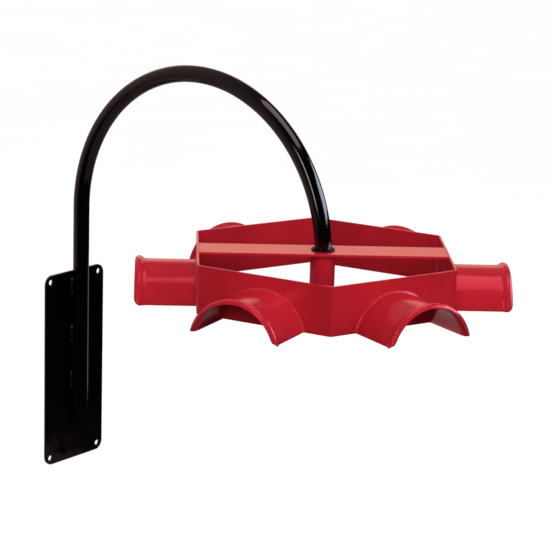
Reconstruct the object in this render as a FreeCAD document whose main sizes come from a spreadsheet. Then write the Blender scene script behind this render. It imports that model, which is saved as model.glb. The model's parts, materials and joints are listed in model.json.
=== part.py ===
"""Wall-mounted revolving hanger for tyre tubes: an arched tube on a wall plate carries a six-saddle carousel.

Frame: millimetres, +Z up. The origin is the centre of the wall plate's back face, +X points away from the
wall, and Y runs along the wall. The arch lies in the XZ plane. The carousel turns about a vertical axis.
"""
import FreeCAD, Part
import math
import os
import Sketcher

# Driving dimensions, in millimetres and degrees.
DIMENSIONS = {
    # wall plate
    "plate_width": 175,
    "plate_height": 420,
    "plate_thick": 5,
    "plate_corner": 20,
    "plate_hole_dia": 12,
    "plate_hole_inset": 15,
    # arm: one inch steel pipe bent to a half circle, with the last few degrees bent tighter
    "pipe_dia": 33.7,
    "pipe_wall": 3.2,
    "bend_radius": 321,
    "end_radius": 120,
    "end_turn": 7,
    "spring_line": 350,
    "leg_below": 92,
    "straight_above_bar": 4,
    "cap_flange": 3,
    "cap_spigot": 15,
    # stitch welds between the wall leg and the plate
    "stitch_length": 40,
    "stitch_leg": 7,
    "stitch_root": 30,
    # carousel band, crossbar and hub
    "band_flats": 486,
    "band_height": 94,
    "band_thick": 4,
    "band_bend": 10,
    "bar_width": 75,
    "bar_thick": 5,
    "sleeve_dia": 48.3,
    "sleeve_wall": 3.2,
    "rest_turn": 41,
    "weld_leg": 4,
    "saddle_weld_leg": 3,
    "seam_width": 6,
    "seam_rise": 1.5,
    "seam_round": 1.2,
    # bushes and end fixings
    "bush_flange_dia": 46,
    "bush_flange": 3,
    "bush_spigot": 25,
    "running_gap": 0.08,
    "seat_gap": 0.05,
    "thrust_dia": 50,
    "thrust_thick": 2,
    "thrust_gap": 0.4,
    "end_float": 0.2,
    "keeper_dia": 56,
    "keeper_thick": 5,
    "bolt_dia": 16,
    "bolt_gap": 0.1,
    "washer_clearance": 1,
    "bolt_head_flats": 24,
    "bolt_head": 10,
    "bolt_reach": 25,
    "lock_dia": 27,
    "lock_thick": 4,
    "lock_slit": 2.5,
    "plug_length": 35,
    # saddles
    "saddle_radius": 87,
    "saddle_rise": 68,
    "saddle_length": 118,
    "saddle_thick": 2.5,
    "lip_round": 8,
    "lip_cove": 16,
    "lip_rise": 5.5,
    "saddle_foot_round": 14,
}

STITCH_HEIGHTS = (178, 74, -30)
SADDLES = 6
# How far a weld's crown stands out of the straight line between its toes, as a share of its leg.
CROWN = 0.125
# How far a cutting sketch reaches past what it cuts.
MARGIN = 1
TOUCH = 1e-6

doc = FreeCAD.newDocument("tube_carousel")


def make_sheet():
    """Fills the spreadsheet with the driving dimensions, one named cell each."""
    table = doc.addObject("Spreadsheet::Sheet", "Sheet")
    for row, (name, number) in enumerate(DIMENSIONS.items(), start=1):
        table.set("A%d" % row, name)
        table.set("B%d" % row, str(number))
        table.setAlias("B%d" % row, name)
    doc.recompute()
    return table


sheet = make_sheet()


def size(name):
    """The number in one named cell."""
    return float(getattr(sheet, name))


def number(expression):
    """The value of an expression over the sheet's cells."""
    return float(sheet.evalExpression(expression))


# ---------------------------------------------------------------- bodies, sketches and features

def new_body(label):
    body = doc.addObject("PartDesign::Body", label.title().replace("_", ""))
    body.Label = label
    return body


def new_sketch(body, plane, name, lift=None):
    """A sketch on one of the body's own origin planes, lifted along its normal by an expression."""
    sketch = body.newObject("Sketcher::SketchObject", body.Name + name)
    support = next(item for item in body.Origin.OriginFeatures if item.Role == plane)
    sketch.AttachmentSupport = [(support, "")]
    sketch.MapMode = "FlatFace"
    if lift:
        sketch.setExpression("AttachmentOffset.Base.z", lift)
    return sketch


def bind(sketch, kind, *arguments):
    """Adds a dimension whose value is an expression over the sheet; the expression comes last."""
    *places, expression = arguments
    index = sketch.addConstraint(Sketcher.Constraint(kind, *places, number(expression)))
    sketch.setExpression("Constraints[%d]" % index, expression)


def add_rectangle(sketch, left, right, low, high):
    """A rectangle whose four sides are set from the sketch's origin by expressions."""
    x_low, x_high, y_low, y_high = (number(side) for side in (left, right, low, high))
    corners = [FreeCAD.Vector(x_low, y_low, 0), FreeCAD.Vector(x_high, y_low, 0),
               FreeCAD.Vector(x_high, y_high, 0), FreeCAD.Vector(x_low, y_high, 0)]
    lines = add_polygon(sketch, corners)
    for line, direction in zip(lines, ("Horizontal", "Vertical", "Horizontal", "Vertical")):
        sketch.addConstraint(Sketcher.Constraint(direction, line))
    bind(sketch, "DistanceX", -1, 1, lines[0], 1, left)
    bind(sketch, "DistanceX", -1, 1, lines[1], 1, right)
    bind(sketch, "DistanceY", -1, 1, lines[0], 1, low)
    bind(sketch, "DistanceY", -1, 1, lines[2], 1, high)


def add_polygon(sketch, corners):
    """Closed straight sides through the corners, joined end to start."""
    lines = []
    for start, end in zip(corners, corners[1:] + corners[:1]):
        lines.append(sketch.addGeometry(Part.LineSegment(start, end), False))
    for line, following in zip(lines, lines[1:] + lines[:1]):
        sketch.addConstraint(Sketcher.Constraint("Coincident", line, 2, following, 1))
    return lines


def add_circle(sketch, diameter, across=None, up=None):
    """A circle of a bound diameter, centred on the origin or at bound distances from it."""
    centre = FreeCAD.Vector(number(across) if across else 0, number(up) if up else 0, 0)
    circle = sketch.addGeometry(Part.Circle(centre, FreeCAD.Vector(0, 0, 1), number(diameter) / 2), False)
    if across:
        bind(sketch, "DistanceX", -1, 1, circle, 3, across)
        bind(sketch, "DistanceY", -1, 1, circle, 3, up)
    else:
        sketch.addConstraint(Sketcher.Constraint("Coincident", circle, 3, -1, 1))
    bind(sketch, "Diameter", circle, diameter)
    return circle


def add_hexagon(sketch, flats):
    """A regular hexagon about the origin with one pair of flats square to the sketch's X axis."""
    reach = number(flats) / math.sqrt(3)
    corners = []
    for step in range(6):
        angle = math.radians(30 + 60 * step)
        corners.append(FreeCAD.Vector(reach * math.cos(angle), reach * math.sin(angle), 0))
    lines = add_polygon(sketch, corners)
    ring = sketch.addGeometry(Part.Circle(FreeCAD.Vector(0, 0, 0), FreeCAD.Vector(0, 0, 1), reach), True)
    sketch.addConstraint(Sketcher.Constraint("Coincident", ring, 3, -1, 1))
    for line in lines:
        sketch.addConstraint(Sketcher.Constraint("PointOnObject", line, 1, ring))
    for line in lines[1:5]:
        sketch.addConstraint(Sketcher.Constraint("Equal", lines[0], line))
    sketch.addConstraint(Sketcher.Constraint("Vertical", lines[5]))
    bind(sketch, "Diameter", ring, "2 * (%s) / sqrt(3)" % flats)


def pad(body, sketch, length, down=False):
    feature = body.newObject("PartDesign::Pad", sketch.Name + "Pad")
    feature.Profile = sketch
    feature.setExpression("Length", length)
    feature.Reversed = down
    sketch.Visibility = False
    doc.recompute()
    return feature


def pocket(body, sketch, length, up=False, midplane=False):
    """Cuts the sketch out of the body, and stops the script if nothing was cut."""
    before = body.Shape.Volume
    feature = body.newObject("PartDesign::Pocket", sketch.Name + "Pocket")
    feature.Profile = sketch
    feature.setExpression("Length", length)
    feature.Reversed = up
    feature.Midplane = midplane
    doc.recompute()
    if body.Shape.Volume > before - TOUCH:
        raise RuntimeError("%s cuts nothing from %s" % (feature.Name, body.Label))
    return feature


def revolve(body, sketch, angle=360.0, axis="V_Axis", midplane=False):
    feature = body.newObject("PartDesign::Revolution", sketch.Name + "Turn")
    feature.Profile = sketch
    feature.ReferenceAxis = (sketch, [axis])
    feature.Angle = angle
    feature.Midplane = midplane
    doc.recompute()
    return feature


def fillet(body, radius, chosen):
    """Rounds the edges of the body's present shape for which chosen(edge) is true."""
    base = body.Tip
    edges = ["Edge%d" % n for n, edge in enumerate(base.Shape.Edges, start=1) if chosen(edge)]
    feature = body.newObject("PartDesign::Fillet", body.Name + "Round%d" % len(body.Group))
    feature.Base = (base, edges)
    feature.setExpression("Radius", radius)
    doc.recompute()
    return feature


def is_upright(edge):
    """True for a straight edge along the body's own Z axis."""
    if edge.Curve.TypeId != "Part::GeomLine":
        return False
    return abs(abs(edge.tangentAt(edge.FirstParameter).z) - 1) < TOUCH


def place(body, across=None, up=None, turn=None):
    """Binds the body's place: distance from the wall, height, and turn about the vertical."""
    body.Placement = FreeCAD.Placement(FreeCAD.Vector(0, 0, 0), FreeCAD.Rotation(FreeCAD.Vector(0, 0, 1), 1))
    body.setExpression("Placement.Base.x", across or "0")
    body.setExpression("Placement.Base.z", up or "0")
    body.setExpression("Placement.Rotation.Angle", turn or "0")
    return body


LEG_X = "(Sheet.plate_thick + Sheet.pipe_dia / 2)"
# The tighter end arc is tangent inside the main one, so its centre is this far from the main centre.
ARC_SHIFT = "(Sheet.bend_radius - Sheet.end_radius)"
HUB_X = "(%s + Sheet.bend_radius + %s * cos(Sheet.end_turn * 1 deg) + Sheet.end_radius)" % (LEG_X, ARC_SHIFT)
END_SPRING = "(Sheet.spring_line + %s * sin(Sheet.end_turn * 1 deg))" % ARC_SHIFT
BAR_TOP = "(%s - Sheet.straight_above_bar)" % END_SPRING
SLEEVE_BORE = "(Sheet.sleeve_dia - 2 * Sheet.sleeve_wall)"
PIPE_BORE = "(Sheet.pipe_dia - 2 * Sheet.pipe_wall)"
WASHER_BORE = "(Sheet.bolt_dia + Sheet.washer_clearance)"
BAND_INSIDE = "(Sheet.band_flats / 2 - Sheet.band_thick)"
# Heights below the crossbar's top face of the pieces stacked under the sleeve.
SLEEVE_END = "(-Sheet.band_height)"
LOWER_BUSH_END = "(%s - Sheet.bush_flange)" % SLEEVE_END
THRUST_END = "(%s - Sheet.thrust_thick)" % LOWER_BUSH_END
PIPE_END = "(%s - Sheet.end_float)" % THRUST_END
KEEPER_END = "(%s - Sheet.keeper_thick)" % PIPE_END
LOCK_END = "(%s - Sheet.lock_thick)" % KEEPER_END


def at_hub(body, turn="0"):
    """Places a body drawn about the hub axis, with its zero height at the crossbar's top face."""
    return place(body, HUB_X, BAR_TOP, turn)


def turned_ring(label, bore, outer, low, high):
    """A plain ring about the hub axis between two heights."""
    body = new_body(label)
    sketch = new_sketch(body, "XZ_Plane", "Half")
    add_rectangle(sketch, "(%s) / 2" % bore, "(%s) / 2" % outer, low, high)
    revolve(body, sketch)
    return body


# ---------------------------------------------------------------- the fixed arm

def wall_plate():
    """Rounded flat plate with four bolt holes; its back face is the plane X = 0."""
    body = new_body("wall_plate")
    outline = new_sketch(body, "YZ_Plane", "Outline")
    add_rectangle(outline, "-Sheet.plate_width / 2", "Sheet.plate_width / 2",
                  "-Sheet.plate_height / 2", "Sheet.plate_height / 2")
    pad(body, outline, "Sheet.plate_thick")
    fillet(body, "Sheet.plate_corner",
           lambda edge: edge.Length < size("plate_thick") + TOUCH)
    holes = new_sketch(body, "YZ_Plane", "Holes")
    for side in ("-1", "1"):
        for end in ("-1", "1"):
            add_circle(holes, "Sheet.plate_hole_dia",
                       side + " * (Sheet.plate_width / 2 - Sheet.plate_hole_inset)",
                       end + " * (Sheet.plate_height / 2 - Sheet.plate_hole_inset)")
    pocket(body, holes, "Sheet.plate_thick", up=True)
    return body


def add_arch(sketch):
    """The pipe's centre line: up the wall leg, half round in two tangent arcs, and down through the hub."""
    leg_x = number(LEG_X)
    hub_x = number(HUB_X)
    spring = size("spring_line")
    end_spring = number(END_SPRING)
    radius = size("bend_radius")
    end_radius = size("end_radius")
    end_turn = math.radians(size("end_turn"))
    vector = FreeCAD.Vector
    upward = vector(0, 0, 1)
    main_circle = Part.Circle(vector(leg_x + radius, spring, 0), upward, radius)
    end_circle = Part.Circle(vector(hub_x - end_radius, end_spring, 0), upward, end_radius)
    leg = sketch.addGeometry(Part.LineSegment(vector(leg_x, -size("leg_below"), 0), vector(leg_x, spring, 0)))
    bend = sketch.addGeometry(Part.ArcOfCircle(main_circle, end_turn, math.pi))
    end_bend = sketch.addGeometry(Part.ArcOfCircle(end_circle, 0, end_turn))
    hub_end = vector(hub_x, number("%s + %s" % (BAR_TOP, PIPE_END)), 0)
    spindle = sketch.addGeometry(Part.LineSegment(vector(hub_x, end_spring, 0), hub_end))
    for straight in (leg, spindle):
        sketch.addConstraint(Sketcher.Constraint("Vertical", straight))
    sketch.addConstraint(Sketcher.Constraint("Tangent", leg, 2, bend, 2))
    sketch.addConstraint(Sketcher.Constraint("Tangent", bend, 1, end_bend, 2))
    sketch.addConstraint(Sketcher.Constraint("Tangent", end_bend, 1, spindle, 1))
    bind(sketch, "DistanceX", -1, 1, leg, 1, LEG_X)
    bind(sketch, "DistanceY", -1, 1, leg, 1, "-Sheet.leg_below")
    bind(sketch, "DistanceY", -1, 1, leg, 2, "Sheet.spring_line")
    bind(sketch, "Radius", bend, "Sheet.bend_radius")
    bind(sketch, "Radius", end_bend, "Sheet.end_radius")
    bind(sketch, "DistanceX", -1, 1, spindle, 1, HUB_X)
    bind(sketch, "DistanceY", -1, 1, spindle, 2, "%s + %s" % (BAR_TOP, PIPE_END))


def arm_tube():
    """One length of pipe swept along the arch."""
    body = new_body("arm_tube")
    path = new_sketch(body, "XZ_Plane", "Path")
    add_arch(path)
    section = new_sketch(body, "XY_Plane", "Section", "-Sheet.leg_below")
    add_circle(section, "Sheet.pipe_dia", LEG_X, "0")
    add_circle(section, PIPE_BORE, LEG_X, "0")
    doc.recompute()
    sweep = body.newObject("PartDesign::AdditivePipe", "ArmSweep")
    sweep.Profile = section
    sweep.Spine = (path, ["Edge1", "Edge2", "Edge3", "Edge4"])
    doc.recompute()
    return body


def tube_end_cap():
    """Push-in plug that closes the wall leg's lower end."""
    body = new_body("tube_end_cap")
    sketch = new_sketch(body, "XZ_Plane", "Head")
    add_rectangle(sketch, "0", "Sheet.pipe_dia / 2", "-Sheet.cap_flange", "0")
    revolve(body, sketch)
    stem = new_sketch(body, "XZ_Plane", "Stem")
    add_rectangle(stem, "0", "%s / 2 - Sheet.seat_gap" % PIPE_BORE, "0", "Sheet.cap_spigot")
    revolve(body, stem)
    return place(body, LEG_X, "-Sheet.leg_below")


def plate_weld_beads():
    """Stitch welds in the two grooves between the wall leg and the plate, as separate solids."""
    radius = size("pipe_dia") / 2
    leg = size("stitch_leg")
    front = size("plate_thick")
    centre = FreeCAD.Vector(front + radius, 0, 0)
    root_angle = math.radians(size("stitch_root"))
    toe_angle = math.acos((radius - leg) / radius)

    def on_pipe(angle, side):
        return centre + FreeCAD.Vector(-radius * math.cos(angle), side * radius * math.sin(angle), 0)

    beads = []
    for side in (-1, 1):
        root = on_pipe(root_angle, side)
        middle = on_pipe((root_angle + toe_angle) / 2, side)
        toe = on_pipe(toe_angle, side)
        root_foot = FreeCAD.Vector(front, root.y, 0)
        toe_foot = FreeCAD.Vector(front, toe.y + side * leg / 2, 0)
        crown = (toe + toe_foot) / 2 + FreeCAD.Vector(CROWN * leg, side * CROWN * leg, 0)
        edges = [Part.Arc(root, middle, toe).toShape(), Part.Arc(toe, crown, toe_foot).toShape(),
                 Part.makeLine(toe_foot, root_foot), Part.makeLine(root_foot, root)]
        face = Part.Face(Part.Wire(edges))
        for height in STITCH_HEIGHTS:
            bead = face.extrude(FreeCAD.Vector(0, 0, size("stitch_length")))
            bead.translate(FreeCAD.Vector(0, 0, height - size("stitch_length") / 2))
            beads.append(bead)
    feature = doc.addObject("Part::Feature", "PlateWeldBeads")
    feature.Label = "plate_weld_beads"
    feature.Shape = Part.makeCompound(beads)
    return feature


def spindle_plug():
    """Tapped steel plug welded into the hub end of the pipe."""
    return at_hub(turned_ring("spindle_plug", "Sheet.bolt_dia", "(%s - 2 * Sheet.seat_gap)" % PIPE_BORE,
                              PIPE_END, "%s + Sheet.plug_length" % PIPE_END))


def retaining_washer():
    return at_hub(turned_ring("retaining_washer", WASHER_BORE, "Sheet.keeper_dia",
                              KEEPER_END, PIPE_END))


def lock_washer():
    """Split spring washer; the slit shows as a narrow gap in the ring."""
    body = turned_ring("lock_washer", WASHER_BORE, "Sheet.lock_dia", LOCK_END, KEEPER_END)
    slit = new_sketch(body, "XY_Plane", "Slit", KEEPER_END)
    add_rectangle(slit, "0", "Sheet.lock_dia", "-Sheet.lock_slit / 2", "Sheet.lock_slit / 2")
    pocket(body, slit, "Sheet.lock_thick")
    return at_hub(body)


def hanger_bolt():
    """Hexagon bolt that holds the washers against the end of the pipe."""
    body = new_body("hanger_bolt")
    head = new_sketch(body, "XY_Plane", "Head", LOCK_END)
    add_hexagon(head, "Sheet.bolt_head_flats")
    pad(body, head, "Sheet.bolt_head", down=True)
    shank = new_sketch(body, "XY_Plane", "Shank", LOCK_END)
    add_circle(shank, "Sheet.bolt_dia - 2 * Sheet.bolt_gap")
    pad(body, shank, "Sheet.lock_thick + Sheet.keeper_thick + Sheet.bolt_reach")
    return at_hub(body)


# ---------------------------------------------------------------- the carousel

def hex_band():
    """Six-sided band of flat steel on edge, bent round at its corners."""
    body = new_body("hex_band")
    outer = new_sketch(body, "XY_Plane", "Outer")
    add_hexagon(outer, "Sheet.band_flats")
    pad(body, outer, "Sheet.band_height", down=True)
    fillet(body, "Sheet.band_bend", is_upright)
    inner = new_sketch(body, "XY_Plane", "Inner")
    add_hexagon(inner, "2 * " + BAND_INSIDE)
    pocket(body, inner, "Sheet.band_height")
    inner_corner = number(BAND_INSIDE) / math.cos(math.radians(30))

    def is_inner_corner(edge):
        start = edge.Vertexes[0].Point
        return is_upright(edge) and math.hypot(start.x, start.y) < inner_corner + TOUCH

    fillet(body, "Sheet.band_bend - Sheet.band_thick", is_inner_corner)
    return at_hub(body, "Sheet.rest_turn")


def band_seam_weld():
    """Butt weld that closes the band, a low bead down the inside of one flat under the crossbar."""
    body = new_body("band_seam_weld")
    sketch = new_sketch(body, "XY_Plane", "Bead", "-Sheet.bar_thick - Sheet.weld_leg")
    add_rectangle(sketch, "%s - Sheet.seam_rise" % BAND_INSIDE, BAND_INSIDE,
                  "-Sheet.seam_width / 2", "Sheet.seam_width / 2")
    pad(body, sketch, "Sheet.band_height - Sheet.bar_thick - Sheet.weld_leg", down=True)
    crest = number(BAND_INSIDE) - size("seam_rise")
    fillet(body, "Sheet.seam_round", lambda edge: is_upright(edge) and edge.Vertexes[0].X < crest + TOUCH)
    return at_hub(body, "Sheet.rest_turn")


def crossbar():
    """Flat bar across the band, flush with its top edge, with a hole at its middle for the pipe."""
    body = new_body("crossbar")
    outline = new_sketch(body, "XY_Plane", "Outline")
    add_rectangle(outline, "-" + BAND_INSIDE, BAND_INSIDE, "-Sheet.bar_width / 2", "Sheet.bar_width / 2")
    pad(body, outline, "Sheet.bar_thick", down=True)
    hole = new_sketch(body, "XY_Plane", "Hole")
    add_circle(hole, SLEEVE_BORE)
    pocket(body, hole, "Sheet.bar_thick")
    return at_hub(body, "Sheet.rest_turn")


def crossbar_welds():
    """Fillet welds under both ends of the crossbar, as two solids."""
    leg = size("weld_leg")
    reach = number(BAND_INSIDE)
    low = -size("bar_thick")
    half = size("bar_width") / 2 - leg
    beads = []
    for side in (-1, 1):
        corner = FreeCAD.Vector(side * reach, -half, low)
        under_bar = corner + FreeCAD.Vector(-side * leg, 0, 0)
        down_band = corner + FreeCAD.Vector(0, 0, -leg)
        crown = (under_bar + down_band) / 2 + FreeCAD.Vector(-side * CROWN * leg, 0, -CROWN * leg)
        edges = [Part.makeLine(corner, under_bar), Part.Arc(under_bar, crown, down_band).toShape(),
                 Part.makeLine(down_band, corner)]
        beads.append(Part.Face(Part.Wire(edges)).extrude(FreeCAD.Vector(0, 2 * half, 0)))
    feature = doc.addObject("Part::Feature", "CrossbarWelds")
    feature.Label = "crossbar_welds"
    feature.Shape = Part.makeCompound(beads)
    return at_hub(feature, "Sheet.rest_turn")


def hub_sleeve():
    """Length of pipe under the crossbar that carries the bushes."""
    return at_hub(turned_ring("hub_sleeve", SLEEVE_BORE, "Sheet.sleeve_dia", SLEEVE_END, "-Sheet.bar_thick"))


def hub_weld():
    """Fillet weld round the sleeve, under the crossbar."""
    body = new_body("hub_weld")
    sketch = new_sketch(body, "XZ_Plane", "Fillet")
    radius = size("sleeve_dia") / 2
    leg = size("weld_leg")
    low = -size("bar_thick")
    lines = add_polygon(sketch, [FreeCAD.Vector(radius, low, 0), FreeCAD.Vector(radius + leg, low, 0),
                                 FreeCAD.Vector(radius, low - leg, 0)])
    sketch.addConstraint(Sketcher.Constraint("Horizontal", lines[0]))
    sketch.addConstraint(Sketcher.Constraint("Vertical", lines[2]))
    bind(sketch, "DistanceX", -1, 1, lines[0], 1, "Sheet.sleeve_dia / 2")
    bind(sketch, "DistanceY", -1, 1, lines[0], 1, "-Sheet.bar_thick")
    bind(sketch, "DistanceX", lines[0], 1, lines[0], 2, "Sheet.weld_leg")
    bind(sketch, "DistanceY", lines[2], 1, lines[2], 2, "Sheet.weld_leg")
    revolve(body, sketch)
    return at_hub(body)


def flanged_bush(label, flange_dia, flange_low, flange_high, spigot_low, spigot_high):
    """Plastic bush: a flange and a spigot that seats in the sleeve and runs on the pipe."""
    bore = "(Sheet.pipe_dia + 2 * Sheet.running_gap)"
    body = turned_ring(label, bore, flange_dia, flange_low, flange_high)
    spigot = new_sketch(body, "XZ_Plane", "Spigot")
    add_rectangle(spigot, bore + " / 2", "%s / 2 - Sheet.seat_gap" % SLEEVE_BORE, spigot_low, spigot_high)
    revolve(body, spigot)
    return at_hub(body)


def upper_bush():
    return flanged_bush("upper_bush", "Sheet.bush_flange_dia", "0", "Sheet.bush_flange",
                        "-Sheet.bush_spigot", "0")


def lower_bush():
    return flanged_bush("lower_bush", "Sheet.sleeve_dia", LOWER_BUSH_END, SLEEVE_END,
                        SLEEVE_END, "%s + Sheet.bush_spigot" % SLEEVE_END)


def thrust_washer():
    return at_hub(turned_ring("thrust_washer", "(Sheet.pipe_dia + 2 * Sheet.thrust_gap)", "Sheet.thrust_dia",
                              THRUST_END, LOWER_BUSH_END))


# A saddle is drawn about its own arc axis: X runs outwards from the band's face, the axis is the line
# Y = 0, Z = 0, and the feet stand on a plane below it.
SADDLE_AXIS = "(Sheet.saddle_rise - Sheet.saddle_radius - Sheet.band_height)"


def at_flat(body, step):
    """Places a body drawn about a saddle's axis on one of the band's six flats."""
    turn = "(Sheet.rest_turn + %d)" % (60 * step)
    body.Placement = FreeCAD.Placement(FreeCAD.Vector(0, 0, 0), FreeCAD.Rotation(FreeCAD.Vector(0, 0, 1), 1))
    body.setExpression("Placement.Base.x", "%s + Sheet.band_flats / 2 * cos(%s * 1 deg)" % (HUB_X, turn))
    body.setExpression("Placement.Base.y", "Sheet.band_flats / 2 * sin(%s * 1 deg)" % turn)
    body.setExpression("Placement.Base.z", "%s + %s" % (BAR_TOP, SADDLE_AXIS))
    body.setExpression("Placement.Rotation.Angle", turn)
    return body


def cut_feet(body):
    """Cuts a turned body level with the band's lower edge."""
    cutter = new_sketch(body, "XY_Plane", "Feet", "Sheet.saddle_radius - Sheet.saddle_rise")
    add_rectangle(cutter, str(-MARGIN), "Sheet.saddle_length + %d" % MARGIN,
                  "-2 * Sheet.saddle_radius", "2 * Sheet.saddle_radius")
    pocket(body, cutter, "2 * Sheet.saddle_radius")


def add_saddle_section(sketch):
    """The sheet's lengthwise section: straight, then a cove up to a rounded lip, at constant thickness."""
    radius = size("saddle_radius")
    thick = size("saddle_thick")
    cove = size("lip_cove")
    lip = size("lip_round")
    climb = math.acos(1 - size("lip_rise") / (cove + lip))
    lip_x = size("saddle_length") - lip
    cove_x = lip_x - (cove + lip) * math.sin(climb)
    lip_y = radius + size("lip_rise") - lip
    vector = FreeCAD.Vector
    upward = vector(0, 0, 1)
    cove_centre = vector(cove_x, radius + cove, 0)
    lip_centre = vector(lip_x, lip_y, 0)
    quarter = math.pi / 2
    shapes = [
        Part.LineSegment(vector(0, radius, 0), vector(cove_x, radius, 0)),
        Part.ArcOfCircle(Part.Circle(cove_centre, upward, cove), -quarter, climb - quarter),
        Part.ArcOfCircle(Part.Circle(lip_centre, upward, lip), 0, climb + quarter),
        Part.LineSegment(vector(lip_x + lip, lip_y, 0), vector(lip_x + lip - thick, lip_y, 0)),
        Part.ArcOfCircle(Part.Circle(lip_centre, upward, lip - thick), 0, climb + quarter),
        Part.ArcOfCircle(Part.Circle(cove_centre, upward, cove + thick), -quarter, climb - quarter),
        Part.LineSegment(vector(cove_x, radius - thick, 0), vector(0, radius - thick, 0)),
        Part.LineSegment(vector(0, radius - thick, 0), vector(0, radius, 0)),
    ]
    top, cove_out, lip_out, end, lip_in, cove_in, under, root = (
        sketch.addGeometry(shape, False) for shape in shapes)
    joins = [("Tangent", top, 2, cove_out, 1), ("Tangent", cove_out, 2, lip_out, 2),
             ("Coincident", lip_out, 1, end, 1), ("Coincident", end, 2, lip_in, 1),
             ("Tangent", lip_in, 2, cove_in, 2), ("Tangent", cove_in, 1, under, 1),
             ("Coincident", under, 2, root, 1), ("Coincident", root, 2, top, 1)]
    for kind, *places in joins:
        sketch.addConstraint(Sketcher.Constraint(kind, *places))
    sketch.addConstraint(Sketcher.Constraint("Coincident", lip_in, 3, lip_out, 3))
    sketch.addConstraint(Sketcher.Constraint("Horizontal", top))
    sketch.addConstraint(Sketcher.Constraint("Horizontal", end))
    sketch.addConstraint(Sketcher.Constraint("PointOnObject", top, 1, -2))
    sketch.addConstraint(Sketcher.Constraint("PointOnObject", under, 2, -2))
    bind(sketch, "DistanceY", -1, 1, top, 1, "Sheet.saddle_radius")
    bind(sketch, "DistanceX", -1, 1, end, 1, "Sheet.saddle_length")
    bind(sketch, "DistanceY", -1, 1, end, 1, "Sheet.saddle_radius + Sheet.lip_rise - Sheet.lip_round")
    bind(sketch, "DistanceX", end, 2, end, 1, "Sheet.saddle_thick")
    bind(sketch, "Radius", lip_out, "Sheet.lip_round")
    bind(sketch, "Radius", cove_out, "Sheet.lip_cove")


def add_corner_cut(sketch):
    """What is cut away outside the rounded corner between a foot and the outer end."""
    foot = size("saddle_radius") - size("saddle_rise")
    end = size("saddle_length")
    corner = size("saddle_foot_round")
    vector = FreeCAD.Vector
    points = [vector(end - corner, foot, 0), vector(end - corner, foot - MARGIN, 0),
              vector(end + MARGIN, foot - MARGIN, 0), vector(end + MARGIN, foot + corner, 0),
              vector(end, foot + corner, 0)]
    lines = [sketch.addGeometry(Part.LineSegment(start, finish), False)
             for start, finish in zip(points, points[1:])]
    circle = Part.Circle(vector(end - corner, foot + corner, 0), vector(0, 0, 1), corner)
    arc = sketch.addGeometry(Part.ArcOfCircle(circle, -math.pi / 2, 0), False)
    for line, following in zip(lines, lines[1:]):
        sketch.addConstraint(Sketcher.Constraint("Coincident", line, 2, following, 1))
    sketch.addConstraint(Sketcher.Constraint("Coincident", lines[-1], 2, arc, 2))
    sketch.addConstraint(Sketcher.Constraint("Coincident", lines[0], 1, arc, 1))
    for line, direction in zip(lines, ("Vertical", "Horizontal", "Vertical", "Horizontal")):
        sketch.addConstraint(Sketcher.Constraint(direction, line))
    bind(sketch, "DistanceX", -1, 1, arc, 3, "Sheet.saddle_length - Sheet.saddle_foot_round")
    bind(sketch, "DistanceY", -1, 1, arc, 3,
         "Sheet.saddle_radius - Sheet.saddle_rise + Sheet.saddle_foot_round")
    bind(sketch, "DistanceX", -1, 1, arc, 2, "Sheet.saddle_length")
    bind(sketch, "DistanceX", arc, 2, lines[2], 2, str(MARGIN))
    bind(sketch, "DistanceY", lines[0], 2, lines[0], 1, str(MARGIN))


def saddle(step):
    """One rolled-sheet saddle, about half round, standing on the level of the band's lower edge."""
    body = new_body("saddle_%d" % (step + 1))
    section = new_sketch(body, "XZ_Plane", "Section")
    add_saddle_section(section)
    revolve(body, section, 180.0, "H_Axis", midplane=True)
    cut_feet(body)
    corners = new_sketch(body, "XZ_Plane", "Corners")
    add_corner_cut(corners)
    pocket(body, corners, "4 * Sheet.saddle_radius", midplane=True)
    return at_flat(body, step)


def saddle_weld(step):
    """Fillet weld over the top of one saddle, where it meets the band."""
    body = new_body("saddle_weld_%d" % (step + 1))
    sketch = new_sketch(body, "XZ_Plane", "Fillet")
    radius = size("saddle_radius")
    leg = size("saddle_weld_leg")
    lines = add_polygon(sketch, [FreeCAD.Vector(0, radius, 0), FreeCAD.Vector(leg, radius, 0),
                                 FreeCAD.Vector(0, radius + leg, 0)])
    sketch.addConstraint(Sketcher.Constraint("Horizontal", lines[0]))
    sketch.addConstraint(Sketcher.Constraint("Vertical", lines[2]))
    sketch.addConstraint(Sketcher.Constraint("PointOnObject", lines[0], 1, -2))
    bind(sketch, "DistanceY", -1, 1, lines[0], 1, "Sheet.saddle_radius")
    bind(sketch, "DistanceX", lines[0], 1, lines[0], 2, "Sheet.saddle_weld_leg")
    bind(sketch, "DistanceY", lines[2], 2, lines[2], 1, "Sheet.saddle_weld_leg")
    revolve(body, sketch, 180.0, "H_Axis", midplane=True)
    cut_feet(body)
    return at_flat(body, step)


# ---------------------------------------------------------------- build, check and write

def check(pieces):
    """Stops the script if any object failed or any piece is empty or not valid."""
    for item in doc.Objects:
        if "Invalid" in item.State or "Error" in item.State:
            raise RuntimeError("%s failed: %s" % (item.Label, item.State))
    for piece in pieces:
        if piece.Shape.isNull() or not piece.Shape.isValid():
            raise RuntimeError("%s has no valid shape" % piece.Label)
        if not piece.Shape.Solids:
            raise RuntimeError("%s holds no solid" % piece.Label)


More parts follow.
